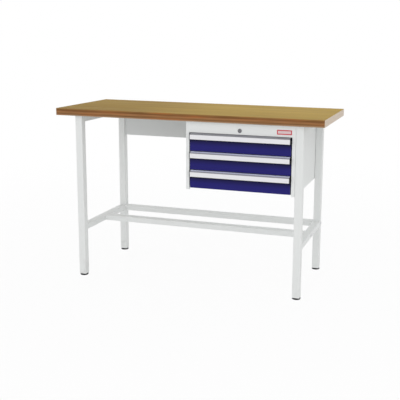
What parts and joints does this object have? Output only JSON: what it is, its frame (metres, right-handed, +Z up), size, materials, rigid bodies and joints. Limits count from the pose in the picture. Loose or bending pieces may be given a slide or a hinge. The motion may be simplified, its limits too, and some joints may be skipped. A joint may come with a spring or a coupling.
{
  "type": "workbench",
  "caption": "Steel-framed workbench with a thick wooden top, lower stretchers, rear apron, levelling feet and a hanging unit of sliding drawers with one lock.",
  "frame": {"origin": "on the floor, under the middle of the worktop", "axes": "+X to the right along the top, +Y to the back, +Z up"},
  "size_m": [1.5, 0.6, 0.955],
  "materials": {
    "top_wood": "satin lacquer over veneer, brown ply edge",
    "frame_paint": "semi-gloss off-white powder coat",
    "drawer_blue": "semi-gloss dark blue powder coat",
    "handle_metal": "satin anodised extrusion",
    "black_plastic": "moulded black plastic",
    "foot_rubber": "black moulded pad on a steel stud",
    "slide_steel": "zinc-plated rolled steel",
    "zinc_steel": "zinc-plated steel",
    "lock_chrome": "plated die casting"
  },
  "bodies": {
    "bench": {"worktop": "top_wood", "leg_front_left": "frame_paint", "leg_rear_left": "frame_paint", "leg_front_right": "frame_paint", "leg_rear_right": "frame_paint", "top_rail_left": "frame_paint", "top_rail_right": "frame_paint", "low_rail_left": "frame_paint", "low_rail_right": "frame_paint", "centre_stretcher": "frame_paint", "rear_stretcher": "frame_paint", "rear_apron": "frame_paint", "stretcher_bolts": "zinc_steel", "apron_bolts": "zinc_steel", "top_screws": "zinc_steel", "cabinet_screws": "zinc_steel", "leg_inserts": "black_plastic", "cabinet_left_side": "frame_paint", "cabinet_right_side": "frame_paint", "cabinet_back": "frame_paint", "cabinet_top": "frame_paint", "cabinet_bottom": "frame_paint", "cabinet_fascia": "frame_paint", "slide_uprights_left": "frame_paint", "slide_uprights_right": "frame_paint", "slide_outer_left": "slide_steel", "slide_outer_right": "slide_steel", "lock_barrel": "lock_chrome", "lock_nut": "zinc_steel", "lock_bar_guides": "zinc_steel"},
    "drawer_bottom": {"drawer_bottom_box": "frame_paint", "drawer_bottom_front": "drawer_blue", "drawer_bottom_handle": "handle_metal", "drawer_bottom_handle_caps": "black_plastic", "drawer_bottom_runners": "slide_steel", "drawer_bottom_screws": "zinc_steel"},
    "slide_bottom": {"drawer_bottom_slide_mid": "slide_steel"},
    "drawer_middle": {"drawer_middle_box": "frame_paint", "drawer_middle_front": "drawer_blue", "drawer_middle_handle": "handle_metal", "drawer_middle_handle_caps": "black_plastic", "drawer_middle_runners": "slide_steel", "drawer_middle_screws": "zinc_steel"},
    "slide_middle": {"drawer_middle_slide_mid": "slide_steel"},
    "drawer_top": {"drawer_top_box": "frame_paint", "drawer_top_front": "drawer_blue", "drawer_top_handle": "handle_metal", "drawer_top_handle_caps": "black_plastic", "drawer_top_runners": "slide_steel", "drawer_top_screws": "zinc_steel"},
    "slide_top": {"drawer_top_slide_mid": "slide_steel"},
    "lock_cylinder": {"lock_plug": "lock_chrome", "lock_rod": "zinc_steel"},
    "lock_bar": {"lock_bar": "zinc_steel"},
    "foot_front_left": {"foot_front_left": "foot_rubber"},
    "foot_front_right": {"foot_front_right": "foot_rubber"},
    "foot_rear_left": {"foot_rear_left": "foot_rubber"},
    "foot_rear_right": {"foot_rear_right": "foot_rubber"}
  },
  "joints": [
    {"name": "drawer_bottom_slide", "type": "slide", "parent": "bench", "child": "drawer_bottom", "axis": [0, -1, 0], "range_m": [0, 0.42]},
    {"name": "slide_bottom_follow", "type": "slide", "parent": "bench", "child": "slide_bottom", "axis": [0, -1, 0], "range_m": [0, 0.21]},
    {"name": "drawer_middle_slide", "type": "slide", "parent": "bench", "child": "drawer_middle", "axis": [0, -1, 0], "range_m": [0, 0.42]},
    {"name": "slide_middle_follow", "type": "slide", "parent": "bench", "child": "slide_middle", "axis": [0, -1, 0], "range_m": [0, 0.21]},
    {"name": "drawer_top_slide", "type": "slide", "parent": "bench", "child": "drawer_top", "axis": [0, -1, 0], "range_m": [0, 0.42]},
    {"name": "slide_top_follow", "type": "slide", "parent": "bench", "child": "slide_top", "axis": [0, -1, 0], "range_m": [0, 0.21]},
    {"name": "lock_turn", "type": "hinge", "parent": "bench", "child": "lock_cylinder", "pos_m": [0.30575, -0.284, 0.878], "axis": [0, 1, 0], "range_deg": [0, 90]},
    {"name": "lock_bar_drop", "type": "slide", "parent": "bench", "child": "lock_bar", "axis": [0, 0, -1], "range_m": [0, 0.01]},
    {"name": "foot_front_left_screw", "type": "slide", "parent": "bench", "child": "foot_front_left", "axis": [0, 0, -1], "range_m": [0, 0.015]},
    {"name": "foot_front_right_screw", "type": "slide", "parent": "bench", "child": "foot_front_right", "axis": [0, 0, -1], "range_m": [0, 0.015]},
    {"name": "foot_rear_left_screw", "type": "slide", "parent": "bench", "child": "foot_rear_left", "axis": [0, 0, -1], "range_m": [0, 0.015]},
    {"name": "foot_rear_right_screw", "type": "slide", "parent": "bench", "child": "foot_rear_right", "axis": [0, 0, -1], "range_m": [0, 0.015]}
  ],
  "couplings": [
    {"joint": "slide_bottom_follow", "follows": "drawer_bottom_slide", "ratio": 0.5},
    {"joint": "slide_middle_follow", "follows": "drawer_middle_slide", "ratio": 0.5},
    {"joint": "slide_top_follow", "follows": "drawer_top_slide", "ratio": 0.5},
    {"joint": "lock_turn", "follows": "lock_bar_drop", "rad_per_m": 157.08}
  ]
}
